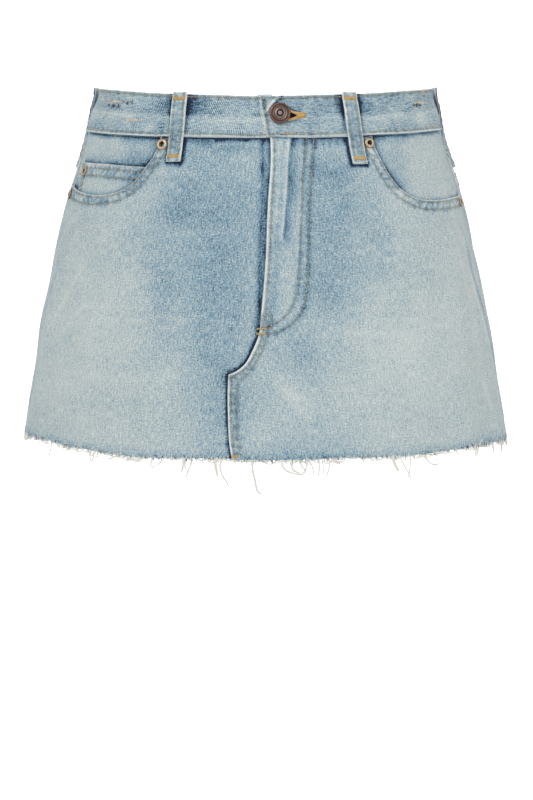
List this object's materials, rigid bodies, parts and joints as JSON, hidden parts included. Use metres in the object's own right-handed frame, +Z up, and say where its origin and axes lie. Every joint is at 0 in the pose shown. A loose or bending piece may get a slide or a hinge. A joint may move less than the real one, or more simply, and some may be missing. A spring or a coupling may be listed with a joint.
{
  "type": "denim mini skirt",
  "caption": "Short denim skirt cut down from jeans: worn-in waistband with belt loops, curved front pockets, overlapped front, yoked back with patch pockets, raw frayed hem.",
  "frame": {"origin": "centre of the waist opening, level with the waistband's top edge at the sides", "axes": "+Z up out of the waist, the front faces -Y, +X towards the wearer's left"},
  "size_m": [0.4262, 0.2903, 0.3158],
  "materials": {
    "denim": "washed pale blue cotton twill, worn white along its seams",
    "denim_facing": "washed pale blue cotton twill behind the pocket mouths",
    "denim_band": "washed blue cotton twill with tan topstitching",
    "fray": "raw cotton fringe, cream and pale blue",
    "button_copper": "dark aged copper, ringed",
    "rivet_copper": "worn copper"
  },
  "bodies": {
    "root": {"front_panel_left": "denim", "front_panel_right": "denim", "back_panel_left": "denim", "back_panel_right": "denim", "back_yoke_left": "denim", "back_yoke_right": "denim", "back_pocket_left": "denim", "back_pocket_right": "denim", "pocket_facing_left": "denim_facing", "pocket_facing_right": "denim_facing", "coin_pocket": "denim_facing", "waistband": "denim_band", "belt_loop_front_left": "denim_band", "belt_loop_front_right": "denim_band", "belt_loop_side_left": "denim_band", "belt_loop_side_right": "denim_band", "belt_loop_back": "denim_band", "hem_fray_front_left": "fray", "hem_fray_front_right": "fray", "hem_fray_back_left": "fray", "hem_fray_back_right": "fray", "waist_button": "button_copper", "rivet_front_left": "rivet_copper", "rivet_front_right": "rivet_copper", "rivet_coin": "rivet_copper", "rivet_side_left": "rivet_copper", "rivet_side_right": "rivet_copper"}
  },
  "joints": []
}
